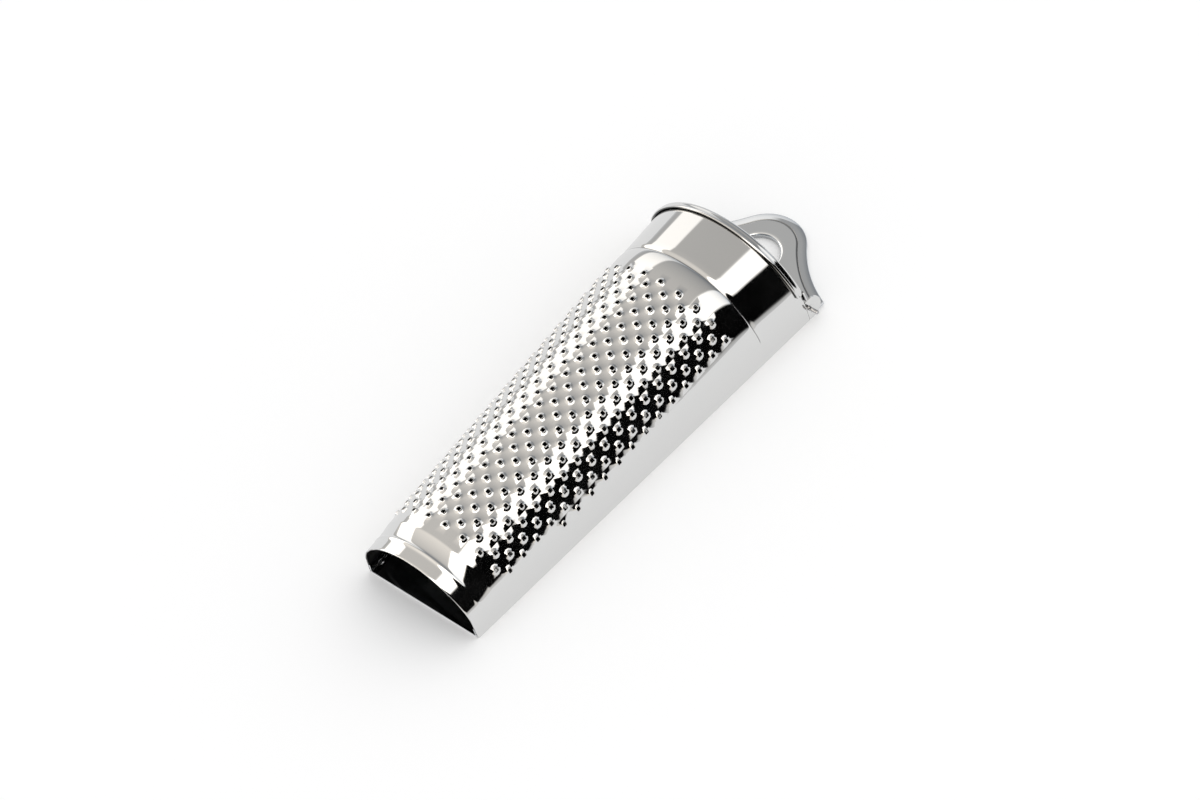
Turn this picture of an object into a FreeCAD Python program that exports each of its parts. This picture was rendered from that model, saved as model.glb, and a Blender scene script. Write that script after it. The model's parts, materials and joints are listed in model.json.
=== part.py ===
import FreeCAD, Part
import math
import os

# Half-round nutmeg grater with a lidded compartment, in millimetres.
# X runs from the open mouth towards the lid, Y across, Z up from the flat back.
# The origin is the middle of the back plate's outer face.

# body
body_length = 117.1        # mouth edge to compartment edge
taper_length = 120.0       # length over which the widths below apply
mouth_width = 36.4
lid_end_width = 49.4
mouth_height = 17.5
compartment_height = 24.5
wall_lean = 4.5            # degrees, side walls lean inwards
mouth_wall = 4.9           # straight part of the side wall at the mouth
lid_end_wall = 6.6
mouth_shoulder = 8.6       # radius between wall and crown at the mouth
lid_end_shoulder = 11.6
sheet = 0.4                # metal thickness of every stamped piece

# collar at the mouth
bead_place = 4.0
bead_width = 1.4
bead_height = 0.25
collar_length = 7.8

# perforated field
field_rise = 0.6           # how far punching has raised the field
field_step = 0.9           # length of the step up from the collar
compartment_length = 15.9  # crease to compartment edge
field_rounding = 5.8       # length over which the field rounds off down to the crease
crease_depth = 0.3         # groove that holds the compartment floor
crease_width = 1.2

# grating bosses, pierced from inside by a pointed punch
punch_sides = 4
first_row = 12.45
row_margin = 1.0           # free length between the last row and the rounding
row_pitch = 5.07           # from boss to boss along a column
column_pitch = 2.72        # from column to column round the arch
column_pairs = 9
column_shift = -0.5        # the pattern sits this far to one side of the crown line
field_margin = 8.2         # a boss keeps this far from the wall's foot, measured round the arch
boss_radius = 1.35         # centre to corner at the foot of a boss
boss_height = 0.9          # foot to the point that the punch opens
boss_tip_radius = 0.5
hole_radius = 0.6          # centre to corner of the hole at that height
dimple_radius = 1.05       # the same at the inside face

# back plate with its hanging ear
flange_height = 3.0
flange_gap = 1.1           # end of the flanges to the ear
ear_overlap = 2.5          # the ear rises from the plate this far inside the body
ear_reach = 22.3           # compartment edge to the tip of the ear
ear_tip_radius = 11.5
ear_tip_angle = 53.7       # degrees of the round tip each side of the middle
flare_length = 16.6        # tip of the ear to the side edge that the flare runs into
ear_edge_height = 1.1      # top of the turned-down edge
ear_panel_height = 1.4
ear_border = 2.5           # width of the sloping band round the panel
hole_from_tip = 13.7
hang_radius = 6.2
collar_roll = 0.8          # slope that leads down into the hanging hole

# hinge
pin_radius = 0.5
pin_height = 2.8
pin_overhang = 2.3         # each end beyond the side wall
pin_clearance = 0.05
lobe_radius = 3.0
lobe_offset = 0.5          # lobe centre beyond the pin

# lid
lid_gap = 0.25             # lid's face to the body's end
skirt_gap = 0.15           # skirt to body
lid_lift = 0.2             # more room under the skirt at the crown
skirt_length = 2.35
skirt_foot = 9.5           # height at which the skirt ends
skirt_hem = 0.2
hem_width = 0.5
lid_edge = 1.1             # rounding of the lid's outer edge
lid_shoulder = 6.8         # below this height the lid passes between the lobes
side_gap = 0.35            # lid and floor to the side walls

# compartment floor
floor_flange = 3.0
seat_clearance = 0.05

# distances from the mouth edge that follow from these sizes
crease_place = body_length - compartment_length
round_start = crease_place - field_rounding
last_row = round_start - row_margin
ear_root = body_length - ear_overlap
flange_end = ear_root - flange_gap
ear_tip = body_length + ear_reach
ear_base = ear_tip - flare_length
hole_place = ear_tip - hole_from_tip

x_mouth = -taper_length / 2
pin_x = x_mouth + body_length + lid_gap + sheet + pin_clearance + pin_radius


def along(distance):
    """X of a distance from the mouth edge."""
    return x_mouth + distance


def mix(x, at_mouth, at_lid_end):
    share = (x - x_mouth) / taper_length
    return at_mouth + (at_lid_end - at_mouth) * share


def half_width(x):
    return mix(x, mouth_width, lid_end_width) / 2


def crown_height(x):
    share = min((x - x_mouth) / crease_place, 1.0)
    return mouth_height + (compartment_height - mouth_height) * share


def arch(x, raised=0.0):
    """Shoulder centre, shoulder radius, crown centre, crown radius and their joint."""
    lean = math.radians(wall_lean)
    wall = mix(x, mouth_wall, lid_end_wall) + raised
    shoulder = mix(x, mouth_shoulder, lid_end_shoulder)
    top = crown_height(x) + raised
    centre_y = half_width(x) - wall * math.sin(lean) - shoulder * math.cos(lean)
    centre_z = wall * math.cos(lean) - shoulder * math.sin(lean)
    below = centre_z - top
    crown = (shoulder**2 - centre_y**2 - below**2) / (2 * (below + shoulder))
    joint = math.atan2(centre_z - (top - crown), centre_y)
    return centre_y, centre_z, shoulder, top - crown, crown, joint


def section(x, raised=0.0, inset=0.0, drop=0.0):
    """Closed D outline at x: wall, shoulder, crown, shoulder, wall and base."""
    lean = math.radians(wall_lean)
    centre_y, centre_z, shoulder, crown_z, crown, joint = arch(x, raised)
    radius = shoulder - inset
    foot_y = half_width(x) - inset / math.cos(lean) + drop * math.tan(lean)

    def on_shoulder(angle, side):
        y = centre_y + radius * math.cos(angle)
        z = centre_z + radius * math.sin(angle)
        return FreeCAD.Vector(x, side * y, z)

    top = FreeCAD.Vector(x, 0, crown_z + crown - inset)
    middle = (lean + joint) / 2
    feet = [FreeCAD.Vector(x, side * foot_y, -drop) for side in (1, -1)]
    edges = [
        Part.LineSegment(feet[0], on_shoulder(lean, 1)),
        Part.Arc(on_shoulder(lean, 1), on_shoulder(middle, 1), on_shoulder(joint, 1)),
        Part.Arc(on_shoulder(joint, 1), top, on_shoulder(joint, -1)),
        Part.Arc(on_shoulder(joint, -1), on_shoulder(middle, -1), on_shoulder(lean, -1)),
        Part.LineSegment(on_shoulder(lean, -1), feet[1]),
        Part.LineSegment(feet[1], feet[0]),
    ]
    return Part.Wire([edge.toShape() for edge in edges])


def loft(sections):
    return Part.makeLoft(sections, True, True)


def body_stations():
    """Places along the body and how far the arch is lifted above the plain taper."""
    stations = [(0.0, 0.0)]
    stations.append((bead_place - bead_width / 2, 0.0))
    stations.append((bead_place, bead_height))
    stations.append((bead_place + bead_width / 2, 0.0))
    stations.append((collar_length, 0.0))
    stations.append((collar_length + field_step, field_rise))
    for turn in (0, 40, 68, 90):
        angle = math.radians(turn)
        rise = (field_rise + crease_depth) * math.cos(angle) - crease_depth
        stations.append((round_start + field_rounding * math.sin(angle), rise))
    stations.append((crease_place + crease_width, 0.0))
    stations.append((body_length, 0.0))
    return stations


def arch_place(x, run, raised):
    """Point and outward direction on the arch, run mm round from the crown."""
    centre_y, centre_z, shoulder, crown_z, crown, joint = arch(x, raised)
    crown_run = crown * (math.pi / 2 - joint)
    side = math.copysign(1.0, run)
    rest = abs(run) - crown_run
    if rest < 0:
        angle = math.pi / 2 - abs(run) / crown
        y = crown * math.cos(angle)
        z = crown_z + crown * math.sin(angle)
    else:
        angle = max(joint - rest / shoulder, math.radians(wall_lean))
        y = centre_y + shoulder * math.cos(angle)
        z = centre_z + shoulder * math.sin(angle)
    point = FreeCAD.Vector(x, side * y, z)
    normal = FreeCAD.Vector(0, side * math.cos(angle), math.sin(angle))
    return point, normal


def pyramid(low_radius, low, high_radius, high):
    """Stub with flat sides round Z, used for the boss and for the punch."""
    rings = []
    for radius, z in ((low_radius, low), (high_radius, high)):
        turns = [2 * math.pi * corner / punch_sides for corner in range(punch_sides)]
        rings.append([FreeCAD.Vector(radius * math.cos(turn), radius * math.sin(turn), z) for turn in turns])
    bottom, top = rings
    outlines = [bottom, top]
    for corner in range(punch_sides):
        after = (corner + 1) % punch_sides
        outlines.append([bottom[corner], bottom[after], top[after], top[corner]])
    faces = [Part.Face(Part.makePolygon(outline + outline[:1])) for outline in outlines]
    return Part.Solid(Part.makeShell(faces))


def half_run(x):
    """Length of the field's arch from its crown to the foot of one wall."""
    centre_y, centre_z, shoulder, crown_z, crown, joint = arch(x, field_rise)
    wall = mix(x, mouth_wall, lid_end_wall) + field_rise
    return crown * (math.pi / 2 - joint) + shoulder * (joint - math.radians(wall_lean)) + wall


def boss_places():
    """Staggered rows: every other column starts half a pitch later, and the margins are kept free."""
    places = []
    for column in range(-column_pairs, column_pairs):
        run = (column + 0.5) * column_pitch + column_shift
        distance = first_row + ((column + 1) % 2) * row_pitch / 2
        while distance <= last_row:
            if abs(run) <= half_run(along(distance)) - field_margin:
                point, normal = arch_place(along(distance), run, field_rise)
                turn = FreeCAD.Rotation(FreeCAD.Vector(1, 0, 0), FreeCAD.Vector(0, 0, 0), normal, "ZXY")
                places.append(FreeCAD.Placement(point, turn))
            distance += row_pitch
    return places


def stamped(tool, places):
    copies = []
    for place in places:
        copy = tool.copy()
        copy.Placement = place
        copies.append(copy)
    return copies


def boss_and_punch():
    """The punch opens the boss where both are equally wide, which leaves a sharp rim."""
    root = sheet / 2
    slope = (boss_radius - boss_tip_radius) / boss_height
    boss = pyramid(boss_radius + slope * root, -root, boss_tip_radius, boss_height)
    spread = (dimple_radius - hole_radius) / (sheet + boss_height)
    over = 0.3
    punch = pyramid(dimple_radius + spread * over, -sheet - over, hole_radius - spread * over, boss_height + over)
    return boss, punch


def hinge_lobes():
    """Rounded ends of the side walls, in the walls' own planes, bored for the pin."""
    lean = math.radians(wall_lean)
    height = 2 * lobe_radius
    start = along(body_length)
    centre = FreeCAD.Vector(pin_x + lobe_offset, -lid_end_width, lobe_radius)
    across = FreeCAD.Vector(0, 1, 0)
    root = Part.makeBox(centre.x - start, 2 * lid_end_width, height, FreeCAD.Vector(start, -lid_end_width, 0))
    profile = root.fuse(Part.makeCylinder(lobe_radius, 2 * lid_end_width, centre, across))
    bore_start = FreeCAD.Vector(pin_x, -lid_end_width, pin_height)
    profile = profile.cut(Part.makeCylinder(pin_radius + pin_clearance, 2 * lid_end_width, bore_start, across))
    lobes = []
    for side in (1, -1):
        corners = []
        for x, z in ((start, 0), (start + height, 0), (start + height, height), (start, height)):
            corners.append(FreeCAD.Vector(x, side * (half_width(x) - z * math.tan(lean)), z))
        wall = Part.Face(Part.makePolygon(corners + corners[:1]))
        plate = wall.extrude(FreeCAD.Vector(0, -side * sheet / math.cos(lean), 0))
        lobes.append(plate.common(profile))
    return lobes


def wall_face_at_pin():
    """Y of the side wall's outer face level with the pin."""
    return half_width(pin_x) - pin_height * math.tan(math.radians(wall_lean))


def grater_shell():
    stations = body_stations()
    outside = loft([section(along(distance), raised) for distance, raised in stations])
    inner = [section(along(distance), raised, sheet, 1.0) for distance, raised in stations]
    inner[0] = section(along(-1.0), 0.0, sheet, 1.0)
    inner[-1] = section(along(body_length + 1.0), 0.0, sheet, 1.0)
    shell = outside.cut(loft(inner))
    boss, punch = boss_and_punch()
    places = boss_places()
    shell = shell.fuse(stamped(boss, places) + hinge_lobes())
    return shell.cut(stamped(punch, places))


def plate_half_width(x):
    return half_width(x) - sheet / math.cos(math.radians(wall_lean)) - seat_clearance


def flat_outline(points, z):
    vectors = [FreeCAD.Vector(x, y, z) for x, y in points]
    return Part.makePolygon(vectors + vectors[:1])


def plate_blank(start, end, raised=0.0, inset=0.0):
    """Flat outline of the plate between two distances from the mouth."""
    corners = []
    for distance, side in ((start, -1), (end, -1), (end, 1), (start, 1)):
        x = along(distance)
        corners.append((x, side * (plate_half_width(x) - inset)))
    return flat_outline(corners, raised)


def ear_half_width(x):
    """The ear's turned-down edge also clears the wall where it leans in above the plate."""
    return plate_half_width(x) - ear_edge_height * math.tan(math.radians(wall_lean))


def ear_outline(inset, z):
    """Ear seen from above: sides, concave flares and round tip, all moved in by inset."""
    centre_x = along(ear_tip - ear_tip_radius)
    turn = math.radians(ear_tip_angle)
    ray_x, ray_y = math.cos(turn), math.sin(turn)
    start_x, start_y = centre_x + ear_tip_radius * ray_x, ear_tip_radius * ray_y
    side_y = ear_half_width(along(ear_base))
    chord_x, chord_y = along(ear_base) - start_x, side_y - start_y
    flare = (chord_x**2 + chord_y**2) / (2 * (chord_x * ray_x + chord_y * ray_y))
    flare_x, flare_y = start_x + flare * ray_x, start_y + flare * ray_y
    tip = ear_tip_radius - inset
    bend = flare + inset
    edge_y = side_y - inset
    edge_x = flare_x - math.sqrt(bend**2 - (flare_y - edge_y)**2)
    root_x = along(ear_root) + inset
    root_y = ear_half_width(root_x) - inset
    join_x, join_y = centre_x + tip * ray_x, tip * ray_y
    first = math.atan2(edge_y - flare_y, edge_x - flare_x) % (2 * math.pi)
    middle = (first + turn + math.pi) / 2
    waist_x, waist_y = flare_x + bend * math.cos(middle), flare_y + bend * math.sin(middle)

    def at(x, y):
        return FreeCAD.Vector(x, y, z)

    edges = [
        Part.LineSegment(at(root_x, root_y), at(root_x, -root_y)),
        Part.LineSegment(at(root_x, -root_y), at(edge_x, -edge_y)),
        Part.Arc(at(edge_x, -edge_y), at(waist_x, -waist_y), at(join_x, -join_y)),
        Part.Arc(at(join_x, -join_y), at(centre_x + tip, 0), at(join_x, join_y)),
        Part.Arc(at(join_x, join_y), at(waist_x, waist_y), at(edge_x, edge_y)),
        Part.LineSegment(at(edge_x, edge_y), at(root_x, root_y)),
    ]
    return Part.Wire([edge.toShape() for edge in edges])


def hole_collar():
    """Edge of the hanging hole turned down to a short tube, turned about the hole's axis."""
    outer = hang_radius + collar_roll
    level = ear_panel_height
    bend = level - collar_roll
    profile = [
        (outer, level),
        (hang_radius, bend),
        (hang_radius, 0),
        (hang_radius + sheet, 0),
        (hang_radius + sheet, bend - sheet / 2),
        (outer, level - sheet),
    ]
    points = [FreeCAD.Vector(along(hole_place) + radius, 0, z) for radius, z in profile]
    axis = FreeCAD.Vector(along(hole_place), 0, 0)
    face = Part.Face(Part.makePolygon(points + points[:1]))
    return face.revolve(axis, FreeCAD.Vector(0, 0, 1), 360)


def plate_flanges():
    """Turned-up edges that lie against the inside of the side walls."""
    lean = math.tan(math.radians(wall_lean)) * flange_height
    blocks = []
    for extra in (0.0, sheet):
        floor = plate_blank(-extra, flange_end + extra, 0.0, extra)
        top = plate_blank(-extra, flange_end + extra, flange_height, lean + extra)
        blocks.append(loft([floor, top]))
    return blocks[0].cut(blocks[1])


def ear_dome(inset, drop):
    """Ear filled up to its top faces: upright edge, gently sloping band and level panel."""
    edge = ear_edge_height - drop
    upright = loft([ear_outline(inset, -drop), ear_outline(inset, edge)])
    band = loft([ear_outline(inset, edge), ear_outline(ear_border, ear_panel_height - drop)])
    return upright.fuse(band)


def back_plate():
    blank = Part.Face(plate_blank(0.0, ear_root + sheet)).extrude(FreeCAD.Vector(0, 0, sheet))
    plate = blank.fuse([ear_dome(0.0, 0.0), plate_flanges()])
    opening = Part.makeCylinder(hang_radius + collar_roll, 2 * ear_panel_height,
                                FreeCAD.Vector(along(hole_place), 0, 0))
    return plate.cut([ear_dome(sheet, sheet), opening]).fuse(hole_collar()).removeSplitter()


def side_blocks(x, length, inner_y, bottom, height):
    """A pair of boxes, one on each side, that start inner_y from the middle."""
    blocks = []
    for near in (inner_y, -inner_y - lid_end_width):
        blocks.append(Part.makeBox(length, lid_end_width, height, FreeCAD.Vector(x, near, bottom)))
    return blocks


def compartment_floor():
    """Shallow D tray whose flange lies against the wall beyond the crease."""
    gap = seat_clearance
    start = crease_place + crease_width + gap
    end = start + floor_flange
    outside = [section(along(place), 0.0, sheet + gap, -sheet - gap) for place in (start, end)]
    inset = 2 * sheet + gap
    inside = [section(along(place), 0.0, inset, -inset) for place in (start + sheet, end + sheet)]
    tray = loft(outside).cut(loft(inside))
    flange_face = plate_half_width(along(start)) - sheet - side_gap
    return tray.cut(side_blocks(along(start) - gap, 2 * floor_flange, flange_face, 0, flange_height + gap))


def lid_stations():
    """Distances along the lid's skirt and how far it stands out there."""
    face = body_length + lid_gap + sheet
    start = face - skirt_length
    out = skirt_gap + sheet
    stations = [
        (start, out + skirt_hem),
        (start + hem_width, out + skirt_hem),
        (start + hem_width + skirt_hem, out),
    ]
    for turn in (0, 30, 60, 90):
        angle = math.radians(turn)
        stations.append((face - lid_edge * (1 - math.sin(angle)), out - lid_edge * (1 - math.cos(angle))))
    return stations


def lid_reach():
    """Half width of the lid's foot, which passes between the hinge lobes."""
    return plate_half_width(pin_x) - lid_shoulder * math.tan(math.radians(wall_lean)) - side_gap


def lid_cap():
    """D cap with a hemmed skirt, rounded at its outer edge and hollow to one sheet."""
    outside = loft([section(along(distance), lid_lift, -out) for distance, out in lid_stations()])
    face_inside = body_length + lid_gap
    hollow_stations = [
        (face_inside - 2 * skirt_length, -skirt_gap),
        (body_length, -skirt_gap),
        (face_inside, lid_gap - skirt_gap),
    ]
    hollow = [section(along(distance), lid_lift, inset, 1.0) for distance, inset in hollow_stations]
    return outside.cut(loft(hollow))


def lid_curl():
    """Foot of the lid rolled round the pin, as a ring, and the bore in it."""
    reach = lid_reach()
    start = FreeCAD.Vector(pin_x, -reach, pin_height)
    across = FreeCAD.Vector(0, 1, 0)
    bore = pin_radius + pin_clearance
    rings = [Part.makeCylinder(radius, 2 * reach, start, across) for radius in (bore + sheet, bore)]
    return rings[0], rings[1]


def lid():
    skirt_start = along(body_length - skirt_length)
    wide = 2 * lid_end_width
    below = 1.0
    behind_face = along(body_length + lid_gap) - skirt_start
    under_skirt = Part.makeBox(behind_face, wide, skirt_foot + below,
                               FreeCAD.Vector(skirt_start, -lid_end_width, -below))
    under_pin = Part.makeBox(wide, wide, pin_height + below,
                             FreeCAD.Vector(skirt_start, -lid_end_width, -below))
    beside = side_blocks(skirt_start, wide, lid_reach(), -below, lid_shoulder + below)
    curl, bore = lid_curl()
    face = lid_cap().cut([under_skirt, under_pin] + beside)
    return face.fuse(curl).cut(bore).removeSplitter()


def hinge_pin():
    half = wall_face_at_pin() + pin_overhang
    start = FreeCAD.Vector(pin_x, -half, pin_height)
    return Part.makeCylinder(pin_radius, 2 * half, start, FreeCAD.Vector(0, 1, 0))


def build():
    makers = {
        "grater_shell": grater_shell,
        "back_plate": back_plate,
        "compartment_floor": compartment_floor,
        "lid": lid,
        "hinge_pin": hinge_pin,
    }
    os.makedirs("parts", exist_ok=True)
    for node, make in makers.items():
        make().exportStep("parts/" + node + ".step")


build()
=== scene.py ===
import json
import math

import bmesh
import bpy
import numpy as np
from mathutils import Matrix, Vector


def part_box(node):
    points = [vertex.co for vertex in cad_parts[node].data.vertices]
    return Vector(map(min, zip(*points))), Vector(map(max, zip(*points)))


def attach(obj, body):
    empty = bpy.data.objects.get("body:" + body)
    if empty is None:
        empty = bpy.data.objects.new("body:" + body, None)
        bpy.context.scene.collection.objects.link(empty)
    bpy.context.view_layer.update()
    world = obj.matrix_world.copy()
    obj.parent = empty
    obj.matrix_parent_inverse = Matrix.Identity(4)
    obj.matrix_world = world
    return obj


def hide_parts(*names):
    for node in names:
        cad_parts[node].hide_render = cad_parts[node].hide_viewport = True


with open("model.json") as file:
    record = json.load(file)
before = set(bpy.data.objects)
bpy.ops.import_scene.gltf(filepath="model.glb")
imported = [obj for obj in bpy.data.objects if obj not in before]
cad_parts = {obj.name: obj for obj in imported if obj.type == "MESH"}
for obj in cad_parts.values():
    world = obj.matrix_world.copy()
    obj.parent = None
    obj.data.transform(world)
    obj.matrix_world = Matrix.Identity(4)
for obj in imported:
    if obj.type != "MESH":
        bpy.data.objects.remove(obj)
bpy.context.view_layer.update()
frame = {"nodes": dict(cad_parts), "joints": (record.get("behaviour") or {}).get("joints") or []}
print("frame loaded")

mm = 0.001
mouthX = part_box("back_plate")[0].x / mm        # the open end, millimetres in the frame
lidJoint = frame["joints"][0]
pinX = lidJoint["pos_m"][0] / mm - mouthX      # distances below count from the open end
pinZ = lidJoint["pos_m"][2] / mm


def gridFaces(rows, columns, closeRows=False, closeColumns=False):
    # quads between neighbouring points of a rows by columns grid, wrapped round where closed
    r = np.arange(rows if closeRows else rows - 1)
    c = np.arange(columns if closeColumns else columns - 1)
    r, c = np.meshgrid(r, c, indexing="ij")
    down, right = (r + 1) % rows, (c + 1) % columns
    quads = [r * columns + c, r * columns + right, down * columns + right, down * columns + c]
    return np.stack(quads, -1).reshape(-1, 4)


def cappedTube(rows, count):
    # faces of a folded strip carried along rows: its sides, and both ends closed across from one
    # half of its points to the other
    quads = [[i, i + 1, count - 2 - i, count - 1 - i] for i in range(count // 2 - 1)]
    last = (rows - 1) * count
    far = [[last + i for i in quad[::-1]] for quad in quads]
    return gridFaces(rows, count, closeColumns=True).tolist() + quads + far


def joinParts(parts):
    # stacks parts of points, faces and, where a part has one, its points' shares of painted shade
    # and dull finish
    points, faces, shadeAndDull, start = [], [], [], 0
    for partPoints, partFaces, *partShadeAndDull in parts:
        flat = np.asarray(partPoints, float).reshape(-1, 3)
        points.append(flat)
        faces.extend((np.asarray(partFaces) + start).tolist())
        shadeAndDull.append(np.ravel(partShadeAndDull[0]) if partShadeAndDull else np.zeros(len(flat)))
        start += len(flat)
    return np.concatenate(points), faces, np.concatenate(shadeAndDull)


weldDistance, shortestEdge = 2e-6, 1e-7        # metres


def makePiece(name, parts, body, replaced, material, sharpAngle):
    # one object from closed surfaces in millimetres, welded, facing out, smooth but for edges that
    # turn by more than the sharp angle in degrees
    points, faces, shadeAndDull = joinParts(parts)
    mesh = bpy.data.meshes.new(name)
    mesh.from_pydata((points * mm).tolist(), [], faces)
    # this share paints shade on hidden faces, hole walls and creases, and makes their finish duller
    mesh.attributes.new("shadeAndDull", "FLOAT", "POINT").data.foreach_set("value", shadeAndDull)
    work = bmesh.new()
    work.from_mesh(mesh)
    bmesh.ops.remove_doubles(work, verts=work.verts, dist=weldDistance)
    bmesh.ops.dissolve_degenerate(work, edges=work.edges, dist=shortestEdge)
    bmesh.ops.recalc_face_normals(work, faces=work.faces)
    work.to_mesh(mesh)
    work.free()
    mesh.shade_smooth()
    mesh.set_sharp_from_angle(angle=math.radians(sharpAngle))
    piece = bpy.data.objects.new(name, mesh)
    bpy.context.scene.collection.objects.link(piece)
    mesh.materials.append(material)
    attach(piece, body)
    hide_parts(replaced)
    print(name, len(mesh.polygons), "faces")


def smoothStep(value):
    # three times the square less twice the cube of the value, held between 0 and 1
    t = np.clip(value, 0.0, 1.0)
    return t * t * (3 - 2 * t)


def plateFinish(name, look):
    # bright plating: faint long waves in the sheet, fine draw lines and a little haze, and painted
    # shade with a duller finish by the share stored on the piece
    material = bpy.data.materials.new(name)
    material.use_nodes = True
    nodes, links = material.node_tree.nodes, material.node_tree.links
    shader = nodes["Principled BSDF"]
    shader.inputs["Metallic"].default_value = 1.0
    place = nodes.new("ShaderNodeTexCoord")
    shadeAndDull = nodes.new("ShaderNodeAttribute")        # 1 on hidden faces, less in creases: painted shade, with a duller finish
    shadeAndDull.attribute_name = "shadeAndDull"
    tone = nodes.new("ShaderNodeMix")
    tone.data_type = "RGBA"
    tone.inputs["A"].default_value = (*look["colour"], 1)
    tone.inputs["B"].default_value = (*look["paintedShadeColour"], 1)
    links.new(shadeAndDull.outputs["Fac"], tone.inputs["Factor"])
    links.new(tone.outputs["Result"], shader.inputs["Base Color"])

    def pattern(scale, stretch, detail):
        # noise in the piece's own coordinates, drawn out where its stretch is small
        mapping = nodes.new("ShaderNodeMapping")
        mapping.inputs["Scale"].default_value = stretch
        noise = nodes.new("ShaderNodeTexNoise")
        noise.inputs["Scale"].default_value = scale
        noise.inputs["Detail"].default_value = detail
        links.new(place.outputs["Object"], mapping.inputs["Vector"])
        links.new(mapping.outputs["Vector"], noise.inputs["Vector"])
        return noise.outputs["Fac"]

    def relief(height, strength, depth):
        # bump of the given depth in metres
        node = nodes.new("ShaderNodeBump")
        node.inputs["Strength"].default_value = strength
        node.inputs["Distance"].default_value = depth
        links.new(height, node.inputs["Height"])
        return node

    waves = pattern(look["waveScale"], (1, 1, 1), look["waveDetail"])
    lines = pattern(look["lineScale"], look["lineStretch"], look["lineDetail"])
    haze = pattern(look["hazeScale"], (1, 1, 1), look["hazeDetail"])
    rough = nodes.new("ShaderNodeMapRange")
    for side, noiseLevel, roughness in zip(("Min", "Max"), look["hazeSpan"], look["roughness"]):
        rough.inputs["From " + side].default_value = noiseLevel
        rough.inputs["To " + side].default_value = roughness
    links.new(haze, rough.inputs["Value"])
    total = nodes.new("ShaderNodeMath")
    total.operation = "MULTIPLY_ADD"
    total.inputs[1].default_value = look["dullRoughness"]
    links.new(shadeAndDull.outputs["Fac"], total.inputs[0])
    links.new(rough.outputs["Result"], total.inputs[2])
    links.new(total.outputs["Value"], shader.inputs["Roughness"])
    waveBump = relief(waves, look["waveStrength"], look["waveDepth"])
    lineBump = relief(lines, look["lineStrength"], look["lineDepth"])
    links.new(waveBump.outputs["Normal"], lineBump.inputs["Normal"])
    links.new(lineBump.outputs["Normal"], shader.inputs["Normal"])
    return material


brightLook = {
    "colour": (0.82, 0.82, 0.815), "roughness": (0.03, 0.075),
    "waveScale": 45.0, "waveDetail": 1.0, "waveStrength": 0.25, "waveDepth": 0.0004,
    "lineScale": 900.0, "lineDetail": 4.0, "lineStrength": 0.12, "lineDepth": 0.00001,
    "lineStretch": (0.05, 1, 1),
    "hazeScale": 120.0, "hazeDetail": 5.0, "hazeSpan": (0.35, 0.75),    # noise at each roughness
    # dark colour painted as shade on hidden faces and creases, with a rougher finish
    "paintedShadeColour": (0.13, 0.13, 0.13), "dullRoughness": 0.25,
}
innerLook = {"colour": (0.72, 0.72, 0.715), "roughness": (0.08, 0.2)}
wireLook = {"colour": (0.55, 0.55, 0.56), "roughness": (0.16, 0.34), "lineStretch": (1, 0.04, 1),
            "lineStrength": 0.4}
shellFinish = plateFinish("shellPlating", brightLook)
lidFinish = plateFinish("lidPlating", brightLook | {"lineStretch": (1, 1, 0.05)})
earFinish = plateFinish("backPlating", brightLook | {"colour": (0.78, 0.80, 0.82)})
innerFinish = plateFinish("innerPlating", brightLook | innerLook)
wireFinish = plateFinish("wireSteel", brightLook | wireLook)

shell = {
    # millimetres from the open end along the body, and up from the flat back
    "taperLength": 120.0,       # length over which the widths apply
    "length": 117.1, "sheet": 0.4,
    "burr": 0.05, "burrLong": 0.06,     # rounding of cut edges, across the sheet and along it
    "mouthWidth": 36.4, "lidEndWidth": 49.4,
    "mouthHeight": 17.5, "roomHeight": 24.5,        # the top rises only as far as the crease
    "wallLean": math.radians(4.5),
    "mouthWall": 4.9, "lidEndWall": 6.6,
    "mouthShoulder": 8.6, "lidEndShoulder": 11.6,
    "bead": 4.0, "beadHeight": 0.25, "beadSpread": 0.4,
    "cove": 4.8, "coveEnd": 8.5, "fieldRise": 0.6,
    "roundStart": 95.4, "crease": 101.2, "creaseDepth": 0.3, "creaseWidth": 1.4,
}


def alongTaper(first, last, share):
    # value that goes evenly from first to last
    return shell[first] + (shell[last] - shell[first]) * share


def halfWidth(d):
    # half the width at the foot, which grows evenly from the mouth to the lid
    growth = (shell["lidEndWidth"] - shell["mouthWidth"]) * d / shell["taperLength"]
    return (shell["mouthWidth"] + growth) / 2


def archShape(d, raised):
    # crown arc tangent to two shoulder arcs, which are tangent to walls that lean in from the foot;
    # the crown's radius is the one that meets both the top and the shoulders
    share = d / shell["taperLength"]
    wall = alongTaper("mouthWall", "lidEndWall", share) + raised
    shoulder = alongTaper("mouthShoulder", "lidEndShoulder", share)
    lean = shell["wallLean"]
    top = alongTaper("mouthHeight", "roomHeight", np.minimum(d / shell["crease"], 1)) + raised
    centreY = halfWidth(d) - wall * math.sin(lean) - shoulder * math.cos(lean)
    centreZ = wall * math.cos(lean) - shoulder * math.sin(lean)
    below = centreZ - top
    crown = (shoulder**2 - centreY**2 - below**2) / (2 * (below + shoulder))
    joint = np.arctan2(centreZ - (top - crown), centreY)
    return centreY, centreZ, shoulder, wall, top - crown, crown, joint


def halfRun(d, raised):
    # length of the arch from its crown to one foot: crown arc, shoulder arc and wall
    shoulder, wall, _, crown, joint = archShape(d, raised)[2:]
    return crown * (math.pi / 2 - joint) + shoulder * (joint - shell["wallLean"]) + wall


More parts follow.
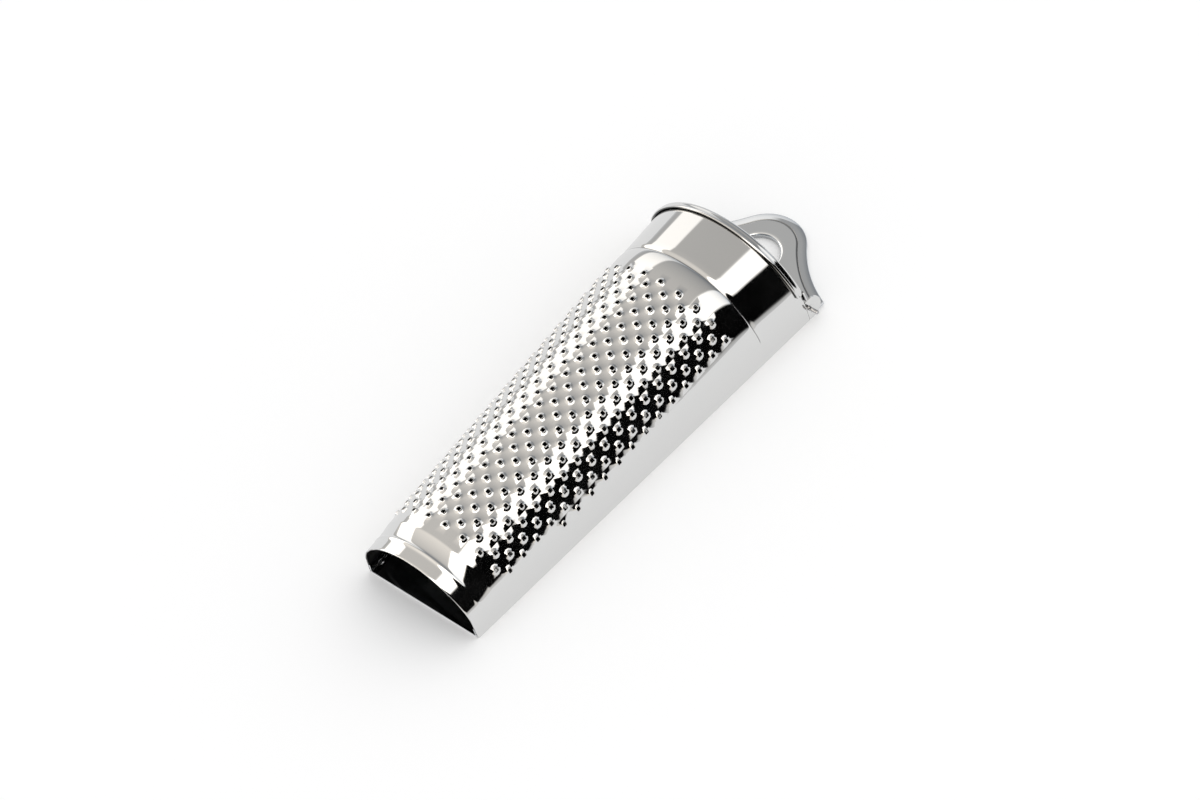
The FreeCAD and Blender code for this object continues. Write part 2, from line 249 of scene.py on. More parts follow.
def archPoint(d, run, raised=0.0, out=0.0):
    # point that lies run along the arch from the crown, moved out along the arch's normal
    given = [np.asarray(v, float) for v in (d, run, raised, out)]
    d, run, raised, out = np.broadcast_arrays(*given)
    centreY, centreZ, shoulder, _, crownZ, crown, joint = archShape(d, raised)
    lean = shell["wallLean"]
    along = np.abs(run)
    crownRun = crown * (math.pi / 2 - joint)
    shoulderRun = shoulder * (joint - lean)
    onCrown = along < crownRun
    angle = np.where(onCrown, math.pi / 2 - along / crown, joint - (along - crownRun) / shoulder)
    angle = np.maximum(angle, lean)
    down = np.maximum(along - crownRun - shoulderRun, 0)
    radius = np.where(onCrown, crown, shoulder) + out
    y = np.where(onCrown, 0, centreY) + radius * np.cos(angle) + down * math.sin(lean)
    z = np.where(onCrown, crownZ, centreZ) + radius * np.sin(angle) - down * math.cos(lean)
    return np.stack([mouthX + d, np.where(run < 0, -y, y), z], -1)


def fieldRise(d):
    # bell-shaped bead near the mouth, a cove that rises with the square of the distance up to the
    # punched field, a quarter ellipse down into the crease and a smooth step out of it
    bead = shell["beadHeight"] * np.exp(-((d - shell["bead"]) / shell["beadSpread"])**2)
    climb = np.clip((d - shell["cove"]) / (shell["coveEnd"] - shell["cove"]), 0, 1)
    step = shell["fieldRise"] * climb**2
    u = np.clip((d - shell["roundStart"]) / (shell["crease"] - shell["roundStart"]), 0, 1)
    full = shell["fieldRise"] + shell["creaseDepth"]
    rounded = full * np.sqrt(1 - u**2) - shell["creaseDepth"]
    beyond = smoothStep((d - shell["crease"]) / shell["creaseWidth"])
    hollow = -shell["creaseDepth"] * (1 - beyond)
    raised = np.where(d < shell["roundStart"], step, np.where(d < shell["crease"], rounded, hollow))
    return bead + raised


bosses = {
    "first": 12.45, "pitch": 5.07, "columnPitch": 2.72, "shift": -0.5,
    "columnPairs": 9, "rows": 17,   # columns on each side of the crown, and bosses in a column
    "margin": 8.2,                  # least run from a boss to the foot
    # distance from the hole's middle and height, from the foot over the rim to the inner face
    "rings": [(1.355, 0.0), (1.3, 0.02), (1.1, 0.09), (0.9, 0.17), (0.78, 0.24), (0.69, 0.34),
              (0.62, 0.46), (0.57, 0.45), (0.54, 0.1), (1.0, -0.4)],
    "torn": 0.7, "corner": -0.16,   # rings narrower than torn leave the circle in four corners
    "shadeAndDullFrom": 9,                  # the border and the rings before this one are bright; the rest get painted shade and a duller finish
}


def keptBosses():
    # column and row of every boss that keeps its distance from the wall's foot
    column = np.arange(-bosses["columnPairs"], bosses["columnPairs"])
    row = np.arange(bosses["rows"])
    column, row = [v.ravel() for v in np.meshgrid(column, row, indexing="ij")]
    late = column % 2 == 0                     # every other column starts half a pitch later
    middleD = bosses["first"] + bosses["pitch"] * (row + late / 2)
    middleRun = (column + 0.5) * bosses["columnPitch"] + bosses["shift"]
    room = halfRun(middleD, shell["fieldRise"]) - np.abs(middleRun)
    kept = (room >= bosses["margin"]) & ~(late & (row == bosses["rows"] - 1))
    return [v[kept] for v in (column, row, late, middleD, middleRun)]


def bossPatches():
    # ring k of boss b: a circle round its middle, laid on the arch and lifted to the ring's height
    halfPitch, halfColumn = bosses["pitch"] / 2, bosses["columnPitch"] / 2
    middleD, middleRun = keptBosses()[3:]
    # the border has a point for each 30 degrees, on the edges of the rectangle cut from the sheet
    borderX = halfPitch * np.array([2, 2, 1, 0, -1, -2, -2, -2, -1, 0, 1, 2]) / 2
    borderY = halfColumn * np.array([0, 1, 1, 1, 1, 1, 0, -1, -1, -1, -1, -1])
    count = len(borderX)
    turn = np.radians(np.arange(count) * 360 / count)
    corner = bosses["corner"] * np.cos(4 * turn)
    offsets, heights = [(borderX, borderY)], [0.0]
    for radius, height in bosses["rings"]:
        reach = radius * (1 + corner * (radius < bosses["torn"]))
        offsets.append((reach * np.cos(turn), reach * np.sin(turn)))
        heights.append(height)
    offsets.append((borderX, borderY))
    heights.append(-shell["sheet"])
    offsets = np.array(offsets)
    d = middleD[:, None, None] + offsets[None, :, 0]
    run = middleRun[:, None, None] + offsets[None, :, 1]
    out = np.broadcast_to(np.array(heights)[None, :, None], d.shape)
    points = archPoint(d, run, fieldRise(d), out)
    one = gridFaces(len(heights), count, closeColumns=True)
    starts = np.arange(len(middleD)) * len(heights) * count
    # painted shade with a duller finish down each hole's throat and on the inner face
    shadeAndDull = np.zeros(d.shape)
    shadeAndDull[:, bosses["shadeAndDullFrom"]:] = 1.0
    return points, (one[None] + starts[:, None, None]).reshape(-1, 4), shadeAndDull


plainSheet = {
    # rows that round the cut edges, and how much of its thickness each face loses there
    "lip": (0.0, 0.04, 0.16), "thinning": (1 / 2, 1 / 6, 0.0),
    "collarFrom": 0.5, "collarRows": 46, "fieldGap": 0.3,       # mouth side of the field
    "roundFrom": 0.2, "roundRows": 12, "creaseFrom": 0.1, "creaseRows": 8,
    "roomFrom": 104, "roomTo": 116, "roomRows": 7,              # compartment side of the crease
    "sideSteps": 16,                                            # from the field's edge to the foot
    "creaseLinePlace": 0.05, "creaseLineHalf": 0.06, "creaseLineShade": 0.7,   # painted shade line in the crease
}


def sheetRows():
    # distances of the plain sheet's rows, how many lie before the field, and the thinning of each
    rowStep = bosses["pitch"] / 4
    fieldStart = bosses["first"] - 2 * rowStep
    fieldEnd = fieldStart + bosses["pitch"] * bosses["rows"]
    lip = np.array(plainSheet["lip"])
    collarEnd = fieldStart - plainSheet["fieldGap"]
    collar = np.linspace(plainSheet["collarFrom"], collarEnd, plainSheet["collarRows"])
    collar = np.concatenate([lip, collar])
    field = fieldStart + rowStep * np.arange(4 * bosses["rows"] + 1)
    turn = np.linspace(plainSheet["roundFrom"], math.pi / 2, plainSheet["roundRows"])
    rounding = shell["crease"] - (shell["crease"] - fieldEnd) * (1 - np.sin(turn))
    crease = np.linspace(plainSheet["creaseFrom"], shell["creaseWidth"], plainSheet["creaseRows"])
    room = np.linspace(plainSheet["roomFrom"], plainSheet["roomTo"], plainSheet["roomRows"])
    end = shell["length"] - lip[::-1]
    d = np.concatenate([collar, field, rounding, shell["crease"] + crease, room, end])
    thin = np.zeros(len(d))
    shares = shell["sheet"] * np.array(plainSheet["thinning"])
    thin[:len(lip)], thin[-len(lip):] = shares, shares[::-1]
    return d, len(collar), thin


def shellLayers():
    # plain sheet round the bosses: outer and inner layers that meet in rounded lips
    d, collarCount, thin = sheetRows()
    sheet, steps = shell["sheet"], plainSheet["sideSteps"]
    pairs = bosses["columnPairs"]
    halfColumns = np.arange(-2 * pairs, 2 * pairs + 1) / 2
    fieldRuns = halfColumns * bosses["columnPitch"] + bosses["shift"]
    raised = fieldRise(d)[:, None]
    foot = halfRun(d[:, None], raised)
    t = np.arange(1, steps + 1) / steps
    low, high = fieldRuns[0], fieldRuns[-1]
    field = np.broadcast_to(fieldRuns, (len(d), len(fieldRuns)))
    run = np.concatenate([low - (foot + low) * t[::-1], field, high + (foot - high) * t], 1)
    outer = archPoint(d[:, None], run, raised, -thin[:, None])
    inner = archPoint(d[:, None], run, raised, (thin - sheet)[:, None])
    inner[:, [0, -1], 2] = 0.0                  # both feet end on the flat back's plane
    rows, columns = run.shape
    faces = gridFaces(rows, columns).reshape(rows - 1, columns - 1, 4)
    column, row, late = keptBosses()[:3]
    firstRow = collarCount + 4 * row + 2 * late
    firstColumn = steps + 2 * (column + pairs)
    punched = np.zeros((rows - 1, columns - 1), bool)
    across = np.arange(2)[None, None, :] + firstColumn[:, None, None]
    punched[np.arange(4)[None, :, None] + firstRow[:, None, None], across] = True
    plain = faces[~punched]
    count = rows * columns
    index = np.arange(rows)
    feet = []
    for edge in (0, columns - 1):
        a, b = index[:-1] * columns + edge, index[1:] * columns + edge
        feet.append(np.stack([a, b, b + count, a + count], -1))
    points = np.concatenate([outer.reshape(-1, 3), inner.reshape(-1, 3)])
    # a painted shade line along the crease, and painted shade with a duller finish on the whole
    # inner layer
    fromLine = np.abs(d[:, None] - shell["crease"] - plainSheet["creaseLinePlace"])
    onArch = np.abs(run) < foot - shell["lidEndWall"]
    paintedCreaseLine = plainSheet["creaseLineShade"] * ((fromLine < plainSheet["creaseLineHalf"]) & onArch)
    shadeAndDull = np.concatenate([paintedCreaseLine.ravel(), np.ones(count)])
    return points, np.concatenate([plain, plain + count, *feet]), shadeAndDull


lobe = {
    "radius": 3.0, "offset": 0.5,       # round end of the side wall, its centre beyond the pin
    "overlap": 0.02,                    # reach into the wall that it continues
    "bore": 0.55, "eyeRadius": 1.3, "eyeDepth": 0.22, "eyeEdge": 0.15,      # the pressed eye
    "eyeDish": 0.7,                     # share of the eye's depth that is left at its edge
    "flatRadius": 1.5,                  # last ring that is round
    "step": 6,                          # degrees between the points of a ring
}


def hingeLobe(side):
    # rings round the pin bore out to the wall's rounded end, laid in the leaning wall: each ray
    # from the pin ends on the end's arc, or on the straight top, foot or root where it leaves it
    centreD, radius = pinX + lobe["offset"], lobe["radius"]
    turn = np.radians(np.arange(0, 360, lobe["step"]))
    cos, sin = np.cos(turn), np.sin(turn)
    rootD = shell["length"] - lobe["overlap"]
    shift, lift = pinX - centreD, pinZ - radius
    b = shift * cos + lift * sin
    arc = -b + np.sqrt(b**2 - shift**2 - lift**2 + radius**2)
    tiny, far = 1e-9, 1e9                       # for rays that never meet a line
    toTop = np.where(sin > 0, (2 * radius - pinZ) / np.maximum(sin, tiny), far)
    toFoot = np.where(sin < 0, -pinZ / np.minimum(sin, -tiny), far)
    toRoot = np.where(cos < 0, (rootD - pinX) / np.minimum(cos, -tiny), far)
    square = np.minimum(np.minimum(toTop, toFoot), toRoot)
    reach = np.where(pinX + arc * cos > centreD, arc, np.minimum(square, np.maximum(arc, square)))
    sheet, eye, depth, bore = shell["sheet"], lobe["eyeRadius"], lobe["eyeDepth"], lobe["bore"]
    flat = lobe["flatRadius"]
    rings = [(bore, depth), (eye - lobe["eyeEdge"], depth * lobe["eyeDish"]), (eye, 0.0),
             (flat, 0.0), (None, 0.0), (None, sheet), (flat, sheet), (bore, sheet)]
    points = []
    for ringRadius, sunk in rings:
        length = reach if ringRadius is None else np.minimum(ringRadius, reach)
        d, z = pinX + length * cos, pinZ + length * sin
        y = halfWidth(d) - z * math.tan(shell["wallLean"]) - sunk
        points.append(np.stack([mouthX + d, side * y, z], -1))
    return np.array(points), gridFaces(len(rings), len(turn), closeRows=True, closeColumns=True)


def pierceShell():
    # the punched body, with a hinge lobe on each side of its lid end
    parts = [shellLayers(), bossPatches(), hingeLobe(1), hingeLobe(-1)]
    makePiece("piercedShell", parts, "body", "grater_shell", shellFinish, 50.0)


ear = {
    "length": 139.4, "tipRadius": 11.5, "tipAngle": math.radians(53.7), "base": 122.8,
    "root": 114.6, "edgeHeight": 1.1, "panelHeight": 1.4, "border": 2.5, "bend": 0.3,
    "crease": 0.12, "creaseWidth": 0.3, "creaseShade": 0.8,     # groove between band and panel
    "holePlace": 125.7, "holeRadius": 6.2, "holeRoll": 0.8, "holeShade": 0.6,
    "flangeHeight": 3.0, "flangeBend": 0.8, "flangeEnd": 113.5, "fit": 0.05,
    "holeBurr": 0.08,           # rounding inside the foot of the hole's roll
    "hold": 0.05,               # rows this far beside the groove keep its edges crisp
    "bandMiddle": 1.3, "innerBend": 0.1, "lap": 0.4, "bendSteps": 6, "trayStep": 20.0,
    "tipSteps": 61, "flareSteps": 25, "sideSteps": 7, "rootSteps": 25,
}


def plateHalf(d):
    # half width of the back plate, which fits inside the shell's walls
    return halfWidth(d) - shell["sheet"] / math.cos(shell["wallLean"]) - ear["fit"]


def earHalf(d):
    # half width of the ear at its own height, where the leaning walls leave less than for the plate
    return plateHalf(d) - ear["edgeHeight"] * math.tan(shell["wallLean"])


def earOutline(inset):
    # root, sides, hollow flares and round tip, each moved in by inset, always with as many points;
    # a flare is the arc that leaves the tip's arc smoothly and ends on the corner of its base
    centre, radius, turn = ear["length"] - ear["tipRadius"], ear["tipRadius"], ear["tipAngle"]
    ray = np.array([math.cos(turn), math.sin(turn)])
    start = np.array([centre, 0]) + radius * ray
    corner = np.array([ear["base"], earHalf(ear["base"])])
    chord = corner - start
    flare = chord @ chord / (2 * chord @ ray)
    flareCentre = start + flare * ray
    bend = flare + inset
    edgeY = corner[1] - inset
    edgeX = flareCentre[0] - math.sqrt(bend**2 - (flareCentre[1] - edgeY)**2)
    rootX = ear["root"] + inset
    rootY = earHalf(rootX) - inset
    first = math.atan2(edgeY - flareCentre[1], edgeX - flareCentre[0]) % (2 * math.pi)
    sweep = np.linspace(turn + math.pi, first, ear["flareSteps"])
    flareSide = flareCentre + bend * np.stack([np.cos(sweep), np.sin(sweep)], -1)
    tipTurn = np.linspace(-turn, turn, ear["tipSteps"])
    tipRays = np.stack([np.cos(tipTurn), np.sin(tipTurn)], -1)
    tip = np.array([centre, 0]) + (radius - inset) * tipRays
    side = np.linspace((edgeX, edgeY), (rootX, rootY), ear["sideSteps"])
    root = np.linspace((rootX, rootY), (rootX, -rootY), ear["rootSteps"])
    half = [flareSide[1:], side[1:]]
    mirrored = [part[::-1] * (1, -1) for part in half[::-1]]
    return np.concatenate([tip, *half, root[1:-1], *mirrored])[:-1]


def earSheet():
    # loops from the foot of the turned-down edge up over the band and panel, down the hole and back
    # beneath; the bend and the roll are quarter circles
    sheet, burr, burrLong = shell["sheet"], shell["burr"], shell["burrLong"]
    border, level, edge = ear["border"], ear["panelHeight"], ear["edgeHeight"]
    hole, roll, bend, hold = ear["holeRadius"], ear["holeRoll"], ear["bend"], ear["hold"]
    inner = earOutline(border + bend)
    middle = np.array([ear["holePlace"], 0])
    rays = inner - middle
    rays = rays / np.linalg.norm(rays, axis=1)[:, None]
    loops = []

    def lay(across, z):
        # one loop of points in the plane, all at one height
        loops.append(np.column_stack([across, np.full(len(inner), z)]))

    def outlineLoop(inset, z):
        # the ear's outline, moved in by inset
        lay(earOutline(inset), z)

    def holeLoop(radius, z):
        # circle round the hole's middle, with a point on each ray to the panel's edge
        lay(middle + rays * radius, z)

    def between(share, z):
        # from the panel's edge to the start of the hole's roll
        lay(inner + (middle + rays * (hole + roll + 2 * hold) - inner) * share, z)

    outlineLoop(burr, 0.0)
    outlineLoop(0.0, burrLong)
    for angle in np.radians([0, 22, 45, 68, 90]):
        outlineLoop(bend * (1 - math.cos(angle)), edge - bend * (1 - math.sin(angle)))
    slope = (level - edge) / border
    crease, width = ear["crease"], ear["creaseWidth"]
    for inset in (bend + 2 * hold, ear["bandMiddle"], border - width - hold, border - width):
        outlineLoop(inset, edge + slope * inset)
    groove = len(loops)
    outlineLoop(border - width / 2, level - slope * width / 2 - crease)
    outlineLoop(border + hold, level)
    for share in (0.0, 0.3, 0.6, 0.85, 1.0):
        between(share, level)
    turn = np.radians([8, 20, 35, 50, 65, 80, 90])
    for angle in turn:
        holeLoop(hole + roll * (1 - math.sin(angle)), level - roll * (1 - math.cos(angle)))
    holeLoop(hole, burrLong)
    holeLoop(hole + burrLong, 0.0)
    underside = len(loops)
    holeLoop(hole + sheet - burrLong, 0.0)
    holeLoop(hole + sheet, ear["holeBurr"])
    wall, under = hole + sheet, roll - sheet
    for angle in turn[::-1]:
        drop = under * (1 - math.cos(angle))
        holeLoop(wall + under * (1 - math.sin(angle)), level - sheet - drop)
    for share in (1.0, 0.6, 0.3, 0.0):
        between(share, level - sheet)
    outlineLoop(border, level - sheet)
    outlineLoop(sheet + ear["innerBend"], edge - sheet)
    outlineLoop(sheet, edge - sheet - ear["innerBend"])
    outlineLoop(sheet, burr)
    outlineLoop(sheet - burr, 0.0)
    points = np.array(loops)
    points[..., 0] += mouthX
    # painted shade with a duller finish beneath the ear, part of it in the lower roll of the hole
    # and in the groove round the panel
    shadeAndDull = np.zeros(points.shape[:2])
    shadeAndDull[underside:] = 1.0
    shadeAndDull[underside - 4:underside] = ear["holeShade"]        # the lower half of the rolled hole
    shadeAndDull[groove - 1:groove + 2] = ear["creaseShade"]
    return points, gridFaces(len(loops), len(inner), closeRows=True, closeColumns=True), shadeAndDull


def plateTray():
    # U section of the plate with rounded bends, carried along the taper
    lean, sheet = math.tan(shell["wallLean"]), shell["sheet"]
    tall, bend = ear["flangeHeight"], ear["flangeBend"]
    turn = np.linspace(0, math.pi / 2, ear["bendSteps"])
    outside = [(-lean * tall, tall), (-lean * tall / 2, tall / 2)]
    for angle in turn:
        z = bend * (1 - math.sin(angle))
        outside.append((-bend * (1 - math.cos(angle)) - lean * z, z))
    tight = bend - sheet
    inside = [(-bend + tight * math.cos(a), bend - tight * math.sin(a)) for a in turn[::-1]]
    inside += [(-sheet - lean * tall / 2, tall / 2), (-sheet - lean * tall, tall)]
    offset, z = np.array(outside + inside).T
    d = np.append(np.arange(0.0, ear["flangeEnd"], ear["trayStep"]), ear["flangeEnd"])
    right = plateHalf(d)[:, None] + offset
    count = len(offset)
    out, back = np.arange(count // 2), np.arange(count // 2, count)
    order = np.concatenate([out, out[::-1] + count, back[::-1] + count, back])
    y = np.concatenate([right, -right], 1)[:, order]
    heights = np.tile(np.tile(z, 2)[order], (len(d), 1))
    x = np.broadcast_to(mouthX + d[:, None], y.shape)
    return np.stack([x, y, heights], -1), cappedTube(len(d), len(order))


def plateStrip():
    # flat bridge between the tray and the ear's root, lapped into both
    start, end = ear["flangeEnd"] - ear["lap"], ear["root"] + shell["burr"]
    d = np.array([start, end, end, start])
    y = plateHalf(d) * np.array([-1, -1, 1, 1])
    low = np.stack([mouthX + d, y, np.zeros(4)], -1)
    high = low + (0, 0, shell["sheet"])
    faces = [[0, 1, 2, 3], [4, 5, 6, 7], [0, 1, 5, 4], [1, 2, 6, 5], [2, 3, 7, 6], [3, 0, 4, 7]]
    return np.concatenate([low, high]), faces


def pressPlate():
    # the flat back with its turned-up edges, and the ear that goes on from it
    parts = [earSheet(), plateTray(), plateStrip()]
    makePiece("backPlateAndEar", parts, "body", "back_plate", earFinish, 35.0)


lid = {
    "gap": 0.25, "skirtGap": 0.15, "lift": 0.2,   # to the body's end, under the skirt, at the crown
    "skirt": 2.35, "skirtFoot": 9.5, "hem": 0.2, "hemWidth": 0.5, "edge": 1.1,
    "shoulder": 6.8, "sideGap": 0.35, "curlInner": 0.55, "curlTurn": math.radians(325),
    "archSteps": 121, "footSteps": 9, "curlSteps": 40,
    "middle": 12.0,             # height of the point that the face's rings close on
    "faceRings": (0.0, 0.35, 0.7, 0.93), "faceRing": 0.25,      # shares, and the last one's inset
    "rimRound": ((0.1, 0.0), (0.03, 0.03), (0.0, 0.1), (0.0, 0.2)),     # back along and in from it
    "rimCut": 0.23,             # depth from the rim where the inside starts
    "longestRun": 40.0, "runTries": 4001,
    "apart": 0.01,              # keeps the corners of the arch and the straight foot apart
    "backShade": 0.3,           # share of the painted shade and dull finish on the back of the face
}


def lidReach():
    # half length of the lid's straight foot and curl, between the hinge lobes
    return plateHalf(pinX) - lid["shoulder"] * math.tan(shell["wallLean"]) - lid["sideGap"]


def lidCap():
    # loops round the D: face middle, rounded edge, skirt with its hem, and back inside
    sheet, gap, under = shell["sheet"], lid["gap"], lid["skirtGap"]
    face = shell["length"] + gap + sheet
    stand = under + sheet
    tries = np.linspace(0, lid["longestRun"], lid["runTries"])
    height = archPoint(face, tries, lid["lift"], stand)[:, 2]
    footRun = tries[np.argmax(height < lid["skirtFoot"])]       # the arch's run to the skirt's foot
    runs = np.linspace(-footRun, footRun, lid["archSteps"])
    reach = lidReach()
    lean = math.tan(shell["wallLean"])
    edgeY = archPoint(face, footRun, lid["lift"], stand)[1]
    shoulder, apart = lid["shoulder"], lid["apart"]
    shoulderY = halfWidth(face) + stand - shoulder * lean - 2 * apart
    foot = [(edgeY, lid["skirtFoot"] - apart), (shoulderY, shoulder + apart), (reach, shoulder),
            (reach, pinZ)]
    across = [(y, pinZ) for y in np.linspace(reach, -reach, lid["footSteps"])[1:-1]]
    bottom = np.array(foot + across + [(-y, z) for y, z in foot[::-1]])
    loops = []

    def loop(back, out):
        # the arch and the straight foot at a distance back from the face, the arch also moved out
        arch = archPoint(face - back, runs, lid["lift"], out)
        low = np.column_stack([np.full(len(bottom), mouthX + face - min(back, sheet)), bottom])
        loops.append(np.concatenate([arch, low]))

    edge, hem, skirt = lid["edge"], lid["hem"], lid["skirt"]
    hemStart, rim = skirt - lid["hemWidth"], stand + hem
    loop(0, stand - edge - lid["faceRing"])
    for angle in np.radians([0, 12, 25, 38, 51, 64, 77, 90]):
        loop(edge * (1 - math.cos(angle)), stand - edge * (1 - math.sin(angle)))
    for share in (0.0, 0.25, 0.5, 0.75, 1.0):
        loop(hemStart - hem * (1 - share), stand + hem * smoothStep(share))
    for back, inward in lid["rimRound"]:
        loop(skirt - back, rim - inward)
    inside = len(loops)
    loop(skirt, rim - lid["rimCut"])
    loop(skirt, under + shell["burr"])
    loop(skirt - shell["burrLong"], under)
    loop(sheet + gap, under)
    loop(sheet, under - gap)
    loop(sheet, under - edge)
    pole = np.array([mouthX + face, 0, lid["middle"]])

    def closing(outline, back, shares):
        # rings between the pole, which lies back from the face, and an outline
        centre = pole - (back, 0, 0)
        return [centre + (outline - centre) * share for share in shares]

    outsideRings = closing(loops[0], 0, lid["faceRings"])
    insideRings = closing(loops[-1], sheet, lid["faceRings"][::-1])
    points = np.array(outsideRings + loops + insideRings)
    # painted shade with a duller finish inside the skirt, less of it on the back of the face
    shadeAndDull = np.zeros(points.shape[:2])
    shadeAndDull[len(outsideRings) + inside:] = 1.0
    shadeAndDull[-len(insideRings) - 1:] = lid["backShade"]
    return points, gridFaces(len(points), points.shape[1], closeColumns=True), shadeAndDull


def lidCurl():
    # foot of the face rolled round the pin: the end of the sheet comes back almost to the face
    inner, outer = lid["curlInner"], lid["curlInner"] + shell["sheet"]
    turn = math.pi + np.linspace(0, lid["curlTurn"], lid["curlSteps"])
    turn = np.concatenate([turn, turn[::-1]])
    radius = np.repeat([outer, inner], lid["curlSteps"])
    dx, dz = radius * np.cos(turn), radius * np.sin(turn)
    reach = lidReach()
    y = np.linspace(-reach, reach, 3)[:, None]
    shape = (len(y), len(dx))
    points = np.stack([np.broadcast_to(mouthX + pinX + dx, shape), np.broadcast_to(y, shape),
                       np.broadcast_to(pinZ + dz, shape)], -1)
    return points, cappedTube(*shape)


def stampLid():
    # the lid's cap, and the curl that it turns on
    makePiece("endLid", [lidCap(), lidCurl()], "lid", "lid", lidFinish, 35.0)


wire = {
    "radius": 0.5, "round": 0.18, "corner": 0.3,    # share of the rounding left at its middle
    "rows": (-0.9, -0.3, 0.3, 0.9),                 # shares of the half length
    "step": 12,                                     # degrees between the points round it
}


def hingeWire():
    # profile turned round the pin's line, with rounded ends
    low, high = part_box("hinge_pin")
    half = (high.y - low.y) / 2 / mm
    r, edge = wire["radius"], wire["round"]
    corner = edge * wire["corner"]
    profile = [(0.0, -half), (r - edge, -half), (r - corner, -half + corner), (r, -half + edge)]
    profile += [(r, share * half) for share in wire["rows"]]
    profile += [(radius, -y) for radius, y in profile[3::-1]]
    radius, y = np.array(profile).T
    turn = np.radians(np.arange(0, 360, wire["step"]))
    shape = (len(radius), len(turn))
    x, z = radius[:, None] * np.cos(turn), radius[:, None] * np.sin(turn)
    points = np.stack([mouthX + pinX + x, np.broadcast_to(y[:, None], shape), pinZ + z], -1)
    parts = [(points, gridFaces(*shape, closeColumns=True))]
    makePiece("hingeWire", parts, "body", "hinge_pin", wireFinish, 35.0)


pierceShell()
pressPlate()
stampLid()
hingeWire()
tray = frame["nodes"]["compartment_floor"]
tray.data.materials.clear()
tray.data.materials.append(innerFinish)
print("pieces made")


view = {
    "aim": (0.00991, 0.00419, 0.0), "distance": 1.0054,
    "azimuth": math.radians(-124.645), "elevation": math.radians(49.6), "roll": math.radians(18.4),
    "lens": 123.24, "sensor": 36.0,
}


def placeCamera():
    # from the aim point back along azimuth and elevation, then rolled about the line of sight
    level = math.cos(view["elevation"])
    back = Vector((level * math.cos(view["azimuth"]), level * math.sin(view["azimuth"]),
                   math.sin(view["elevation"])))
    right = Vector((0, 0, 1)).cross(back).normalized()
    up = back.cross(right)
    axes = Matrix((right, up, back)).transposed()
    camera = bpy.data.objects.new("studioCamera", bpy.data.cameras.new("studioCamera"))
    bpy.context.scene.collection.objects.link(camera)
    camera.data.sensor_width = view["sensor"]
    camera.data.lens = view["lens"]
    turned = axes @ Matrix.Rotation(-view["roll"], 3, "Z")
    place = Matrix.Translation(Vector(view["aim"]) + back * view["distance"])
    camera.matrix_world = place @ turned.to_4x4()
    bpy.context.scene.camera = camera


studio = {
    # brightness that the metal mirrors, by degrees round the long axis from +Y over the top to -Y:
    # first as seen toward the open end, then as seen toward the lid
    "bands": [
        (-180, 0.8, 0.5), (-1, 0.8, 0.5), (1, 0.8, 0.3), (8, 0.8, 0.3), (10, 2.7, 0.45),
        (40, 2.7, 0.45), (42, 1.05, 0.22), (108, 1.0, 0.2), (110, 2.8, 0.6), (134, 2.8, 0.6),
        (136, 0.0012, 0.0008), (174, 0.0012, 0.0008), (176, 0.7, 0.3), (180, 0.8, 0.5)],
    "mouthTone": (1.0, 0.94, 0.86), "lidTone": (0.9, 0.97, 1.06),
    "mouthSide": -0.5, "lidSide": 0.9,          # X of the ray where each list holds alone
    "slant": math.radians(20), "level": 0.3,   # turn of the bands for each unit of X from the level
    "plainLight": 0.95, "sideLight": (0.3, -0.3, 0.15),   # for other rays, and its slope in X, Y, Z
    "floorColour": 0.96, "floorMirrored": 0.26, "floorGlow": 0.55,
    "floorSize": 4.0, "floorDrop": 0.00005,                 # metres
}


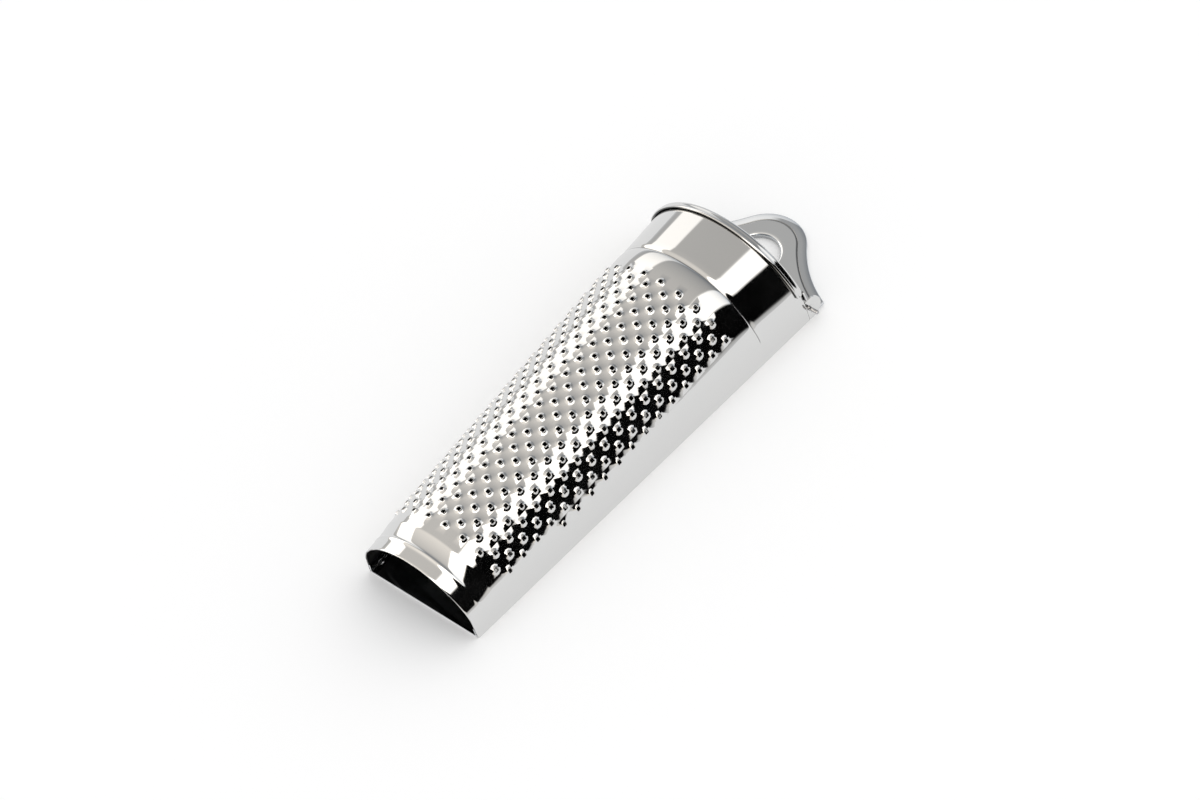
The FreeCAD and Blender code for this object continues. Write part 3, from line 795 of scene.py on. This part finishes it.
def lightStudio():
    # mirrored room of soft boxes and a dark gap in bands round the X axis; all else gets plain
    # white. A ray looks up its angle, atan2(Z, Y), less its X over the level times the slant, in
    # both lists of bands, and its X says how much of each list it gets
    world = bpy.data.worlds.new("studio")
    bpy.context.scene.world = world
    world.use_nodes = True
    nodes, links = world.node_tree.nodes, world.node_tree.links
    back = nodes["Background"]
    place = nodes.new("ShaderNodeTexCoord")
    split = nodes.new("ShaderNodeSeparateXYZ")
    links.new(place.outputs["Generated"], split.inputs["Vector"])

    def combine(operation, first, second, third=None):
        # a sum on sockets and plain numbers
        node = nodes.new("ShaderNodeMath")
        node.operation = operation
        for socket, value in zip(node.inputs, (first, second, third)):
            if hasattr(value, "is_output"):
                links.new(value, socket)
            elif value is not None:
                socket.default_value = value
        return node.outputs["Value"]

    def spread(value, low, high):
        # 0 at low, 1 at high
        node = nodes.new("ShaderNodeMapRange")
        node.inputs["From Min"].default_value = low
        node.inputs["From Max"].default_value = high
        links.new(value, node.inputs["Value"])
        return node.outputs["Result"]

    def blend(share, first, second):
        # first at share 0, second at share 1
        node = nodes.new("ShaderNodeMix")
        node.data_type = "RGBA"
        for name, value in (("Factor", share), ("A", first), ("B", second)):
            links.new(value, node.inputs[name])
        return node.outputs["Result"]

    x, y, z = split.outputs
    strength = max(band[1] for band in studio["bands"])      # ramp colours stay within 0 to 1
    angle = combine("ARCTAN2", z, y)
    turned = combine("MULTIPLY_ADD", x, -studio["slant"], studio["slant"] * studio["level"])
    share = spread(combine("ADD", angle, turned), -math.pi, math.pi)

    def ramp(column, tone):
        # one column of the bands, in its tone
        node = nodes.new("ShaderNodeValToRGB")
        stops = node.color_ramp.elements
        while len(stops) < len(studio["bands"]):
            stops.new(0.5)
        for stop, band in zip(stops, studio["bands"]):
            stop.position = (band[0] + 180) / 360
            stop.color = (*[c * band[column] / strength for c in tone], 1)
        links.new(share, node.inputs["Fac"])
        return node.outputs["Color"]

    nearLid = spread(x, studio["mouthSide"], studio["lidSide"])
    room = blend(nearLid, ramp(1, studio["mouthTone"]), ramp(2, studio["lidTone"]))
    plain = studio["plainLight"] / strength
    for value, more in zip((x, y, z), studio["sideLight"]):
        plain = combine("MULTIPLY_ADD", value, more / strength, plain)
    path = nodes.new("ShaderNodeLightPath")
    back.inputs["Strength"].default_value = strength
    links.new(blend(path.outputs["Is Glossy Ray"], plain, room), back.inputs["Color"])


def layFloor():
    # white floor that keeps the shadow; the metal mirrors it greyer, with less of the shadow
    size = studio["floorSize"]
    corners = [(-size, -size, 0), (size, -size, 0), (size, size, 0), (-size, size, 0)]
    mesh = bpy.data.meshes.new("floor")
    mesh.from_pydata(corners, [], [(0, 1, 2, 3)])
    floor = bpy.data.objects.new("floor", mesh)
    bpy.context.scene.collection.objects.link(floor)
    floor.location.z = -studio["floorDrop"]
    material = bpy.data.materials.new("floorPaint")
    material.use_nodes = True
    nodes, links = material.node_tree.nodes, material.node_tree.links
    shader = nodes["Principled BSDF"]
    shader.inputs["Roughness"].default_value = 1.0
    shader.inputs["Specular IOR Level"].default_value = 0.0
    path = nodes.new("ShaderNodeLightPath")
    shade = nodes.new("ShaderNodeMix")
    shade.data_type = "RGBA"
    shade.inputs["A"].default_value = (*[studio["floorColour"]] * 3, 1)
    shade.inputs["B"].default_value = (*[studio["floorMirrored"]] * 3, 1)
    links.new(path.outputs["Is Glossy Ray"], shade.inputs["Factor"])
    links.new(shade.outputs["Result"], shader.inputs["Base Color"])
    shader.inputs["Emission Color"].default_value = (1, 1, 1, 1)
    glow = nodes.new("ShaderNodeMath")
    glow.operation = "MULTIPLY"
    glow.inputs[1].default_value = studio["floorGlow"]
    links.new(path.outputs["Is Glossy Ray"], glow.inputs[0])
    links.new(glow.outputs["Value"], shader.inputs["Emission Strength"])
    mesh.materials.append(material)


placeCamera()
lightStudio()
layFloor()
bpy.context.scene.view_settings.view_transform = "Standard"
print("studio set")
